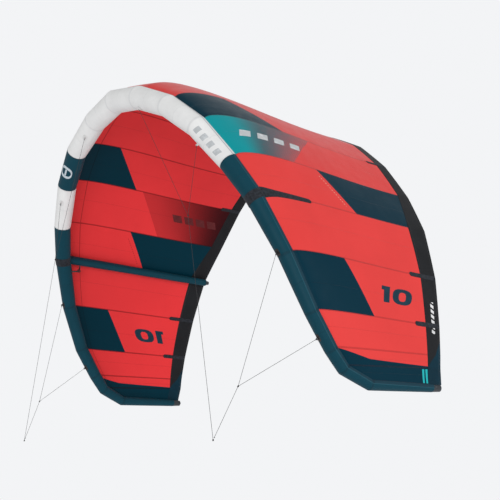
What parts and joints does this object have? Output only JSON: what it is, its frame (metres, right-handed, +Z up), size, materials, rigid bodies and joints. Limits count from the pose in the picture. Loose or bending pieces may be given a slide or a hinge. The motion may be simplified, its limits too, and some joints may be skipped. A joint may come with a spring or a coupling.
{
  "type": "kitesurf kite",
  "caption": "Inflatable kitesurf kite: an arched, panelled canopy on a faceted inflated leading edge, with inflated struts, reinforced tips, a trailing-edge band and bridle lines on each wing.",
  "frame": {"origin": "centre of the leading-edge tube on the plane of symmetry", "axes": "+X across the span to the right wing tip, +Y aft along the chord from leading to trailing edge, +Z up, out of the top of the arch"},
  "size_m": [3.5076, 1.967, 2.7655],
  "materials": {
    "dacron_white": "woven polyester, satin",
    "dacron_navy": "woven polyester, satin",
    "bladder_film": "translucent film",
    "ripstop": "coated ripstop, slight sheen",
    "band_black": "woven polyester",
    "chafe_black": "coarse woven nylon",
    "webbing": "webbing",
    "end_cap": "satin",
    "hose": "flexible tube",
    "moulded_black": "moulded",
    "valve_grey": "moulded",
    "bridle_cord": "braided line"
  },
  "bodies": {
    "kite": {"le_sleeve_centre": "dacron_white", "le_sleeve_left_badge": "dacron_navy", "le_sleeve_left_upper": "dacron_white", "le_sleeve_right_upper": "dacron_white", "le_bladder": "bladder_film", "batten_pockets": "band_black", "bridle_tabs": "webbing", "inflation_valve": "valve_grey", "le_sleeve_left_lower": "dacron_navy", "le_sleeve_left_tip": "dacron_navy", "tip_end_cap_left": "end_cap", "canopy_centre_left": "ripstop", "canopy_inner_left": "ripstop", "canopy_shoulder_left": "ripstop", "canopy_upper_left": "ripstop", "canopy_middle_left": "ripstop", "canopy_lower_left": "ripstop", "canopy_tip_left": "ripstop", "trailing_band_left": "band_black", "strut_sleeve_left": "dacron_navy", "strut_bladder_left": "bladder_film", "strut_end_cap_left": "end_cap", "strut_joint_cover_left": "chafe_black", "onepump_hose_left": "hose", "hose_clip_left": "moulded_black", "le_sleeve_right_lower": "dacron_navy", "le_sleeve_right_tip": "dacron_navy", "tip_end_cap_right": "end_cap", "canopy_centre_right": "ripstop", "canopy_inner_right": "ripstop", "canopy_shoulder_right": "ripstop", "canopy_upper_right": "ripstop", "canopy_middle_right": "ripstop", "canopy_lower_right": "ripstop", "canopy_tip_right": "ripstop", "trailing_band_right": "band_black", "strut_sleeve_right": "dacron_navy", "strut_bladder_right": "bladder_film", "strut_end_cap_right": "end_cap", "strut_joint_cover_right": "chafe_black", "onepump_hose_right": "hose", "hose_clip_right": "moulded_black"},
    "upper_bridle_left": {"bridle_inner_line_left": "bridle_cord", "bridle_outer_line_left": "bridle_cord"},
    "upper_leader_left": {"bridle_upper_leader_left": "bridle_cord", "pigtail_knot_left": "bridle_cord"},
    "lower_bridle_left": {"bridle_low_line_left": "bridle_cord", "bridle_tip_line_left": "bridle_cord"},
    "lower_leader_left": {"bridle_lower_leader_left": "bridle_cord"},
    "hose_clip_lever_left": {"hose_clip_lever_left": "moulded_black"},
    "upper_bridle_right": {"bridle_inner_line_right": "bridle_cord", "bridle_outer_line_right": "bridle_cord"},
    "upper_leader_right": {"bridle_upper_leader_right": "bridle_cord", "pigtail_knot_right": "bridle_cord"},
    "lower_bridle_right": {"bridle_low_line_right": "bridle_cord", "bridle_tip_line_right": "bridle_cord"},
    "lower_leader_right": {"bridle_lower_leader_right": "bridle_cord"},
    "hose_clip_lever_right": {"hose_clip_lever_right": "moulded_black"},
    "valve_cap": {"valve_cap": "moulded_black"}
  },
  "joints": [
    {"name": "upper_swing_left", "type": "hinge", "parent": "kite", "child": "upper_bridle_left", "pos_m": [-0.44615, -0.03957, -0.19025], "axis": [0.8375, -0.1346, 0.5296], "range_deg": [-8, 8]},
    {"name": "upper_knot_left", "type": "hinge", "parent": "upper_bridle_left", "child": "upper_leader_left", "pos_m": [-1.053, 0.018, -1.087], "axis": [0.8375, -0.1346, 0.5296], "range_deg": [-11.4, 11.4]},
    {"name": "lower_swing_left", "type": "hinge", "parent": "kite", "child": "lower_bridle_left", "pos_m": [-1.60538, 0.34705, -1.3888], "axis": [0.1081, -0.4448, 0.8891], "range_deg": [-5.9, 5.9]},
    {"name": "lower_knot_left", "type": "hinge", "parent": "lower_bridle_left", "child": "lower_leader_left", "pos_m": [-1.502, 0.122, -2.246], "axis": [0.1081, -0.4448, 0.8891], "range_deg": [-17.8, 17.8]},
    {"name": "hose_clip_hinge_left", "type": "hinge", "parent": "kite", "child": "hose_clip_lever_left", "pos_m": [-1.45129, 0.43199, -1.09914], "axis": [-0.4432, -0.1841, -0.8773], "range_deg": [0, 75]},
    {"name": "upper_swing_right", "type": "hinge", "parent": "kite", "child": "upper_bridle_right", "pos_m": [0.44615, -0.03957, -0.19025], "axis": [0.8375, 0.1346, -0.5296], "range_deg": [-8, 8]},
    {"name": "upper_knot_right", "type": "hinge", "parent": "upper_bridle_right", "child": "upper_leader_right", "pos_m": [1.053, 0.018, -1.087], "axis": [0.8375, 0.1346, -0.5296], "range_deg": [-11.4, 11.4]},
    {"name": "lower_swing_right", "type": "hinge", "parent": "kite", "child": "lower_bridle_right", "pos_m": [1.60538, 0.34705, -1.3888], "axis": [0.1081, 0.4448, -0.8891], "range_deg": [-5.9, 5.9]},
    {"name": "lower_knot_right", "type": "hinge", "parent": "lower_bridle_right", "child": "lower_leader_right", "pos_m": [1.502, 0.122, -2.246], "axis": [0.1081, 0.4448, -0.8891], "range_deg": [-17.8, 17.8]},
    {"name": "hose_clip_hinge_right", "type": "hinge", "parent": "kite", "child": "hose_clip_lever_right", "pos_m": [1.45129, 0.43199, -1.09914], "axis": [-0.4432, 0.1841, 0.8773], "range_deg": [0, 75]},
    {"name": "valve_cap_hinge", "type": "hinge", "parent": "kite", "child": "valve_cap", "pos_m": [0.50828, 0.09731, -0.22138], "axis": [-0.9181, -0.0612, 0.3917], "range_deg": [0, 140]}
  ],
  "couplings": [
    {"joint": "upper_knot_left", "follows": "upper_swing_left", "ratio": -1.41},
    {"joint": "lower_swing_left", "follows": "upper_swing_left", "ratio": 0.72},
    {"joint": "lower_knot_left", "follows": "upper_swing_left", "ratio": -2.2},
    {"joint": "upper_knot_right", "follows": "upper_swing_right", "ratio": -1.41},
    {"joint": "lower_swing_right", "follows": "upper_swing_right", "ratio": 0.72},
    {"joint": "lower_knot_right", "follows": "upper_swing_right", "ratio": -2.2}
  ]
}
